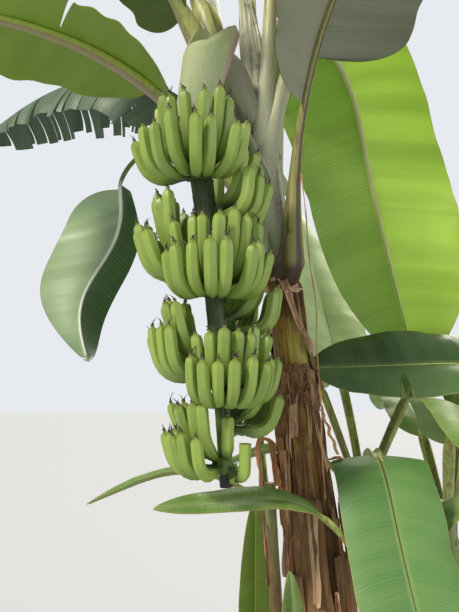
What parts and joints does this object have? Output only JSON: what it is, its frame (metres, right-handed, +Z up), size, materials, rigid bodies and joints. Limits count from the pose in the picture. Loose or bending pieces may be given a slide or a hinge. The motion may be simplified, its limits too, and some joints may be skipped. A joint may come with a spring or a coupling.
{
  "type": "banana plant",
  "caption": "Fruiting banana plant: sheathed pseudostem, arching torn leaves, one hanging bunch of green hands, and followers at its foot.",
  "frame": {"origin": "middle of the main pseudostem's flat foot, at ground level", "axes": "+Z up; the bunch hangs towards -Y and -X of the main pseudostem; the followers stand towards +X and +Y"},
  "size_m": [3.29, 2.5894, 3.574],
  "materials": {
    "old_sheath": "dry fibrous leaf sheaths, brown with green and purple-brown patches",
    "follower_stem": "green leaf sheaths, smooth, with brown edges",
    "leaf": "fresh green leaf blade, waxy, paler beneath, yellow-green rib",
    "young_leaf": "bright green young leaf, waxy, pale rib",
    "fruit_stalk": "dark green ribbed stalk",
    "fruit": "unripe fruit skin, light yellow-green, satin",
    "bract": "pale grey-green fibrous bract",
    "dry_stalk": "dead dry stalk, orange-brown"
  },
  "bodies": {
    "root": {"main_pseudostem": "old_sheath", "follower_1_pseudostem": "follower_stem", "follower_2_pseudostem": "follower_stem", "follower_3_pseudostem": "follower_stem", "follower_4_pseudostem": "follower_stem", "follower_5_pseudostem": "follower_stem", "sword_sucker": "follower_stem", "leaf_overhead_inner": "leaf", "leaf_overhead_outer": "leaf", "leaf_right_inner": "leaf", "leaf_right_outer": "leaf", "leaf_left_front_inner": "leaf", "leaf_left_front_outer": "leaf", "leaf_left_back_inner": "leaf", "leaf_left_back_outer": "leaf", "leaf_left_inner": "leaf", "leaf_left_outer": "leaf", "leaf_left_high_inner": "leaf", "leaf_left_high_outer": "leaf", "leaf_back_high_inner": "leaf", "leaf_back_high_outer": "leaf", "leaf_back_inner": "leaf", "leaf_back_outer": "leaf", "leaf_front_high_inner": "leaf", "leaf_front_high_outer": "leaf", "leaf_right_high_inner": "leaf", "leaf_right_high_outer": "leaf", "follower_1_leaf_right": "young_leaf", "follower_1_leaf_high": "young_leaf", "follower_1_leaf_left": "young_leaf", "follower_1_leaf_low": "young_leaf", "follower_1_leaf_front": "young_leaf", "follower_2_leaf_high": "young_leaf", "follower_2_leaf_right": "young_leaf", "follower_2_leaf_back": "young_leaf", "follower_3_leaf_left": "young_leaf", "follower_3_leaf_front": "young_leaf", "follower_3_leaf_right": "young_leaf", "follower_4_leaf_left": "young_leaf", "follower_4_leaf_high": "young_leaf", "follower_4_leaf_hanging": "young_leaf", "follower_5_leaf_left": "young_leaf", "follower_5_leaf_right": "young_leaf", "sword_leaf": "young_leaf", "dry_stalk_left": "dry_stalk", "dry_stalk_right": "dry_stalk", "fruit_stalk_arch": "fruit_stalk", "fruit_stalk_fall": "fruit_stalk", "hand_1": "fruit", "hand_2": "fruit", "hand_3": "fruit", "hand_4": "fruit", "hand_5": "fruit", "hand_6": "fruit", "hand_7": "fruit", "hand_8": "fruit", "hand_9": "fruit", "hand_10_last_finger": "fruit", "bract": "bract"}
  },
  "joints": []
}
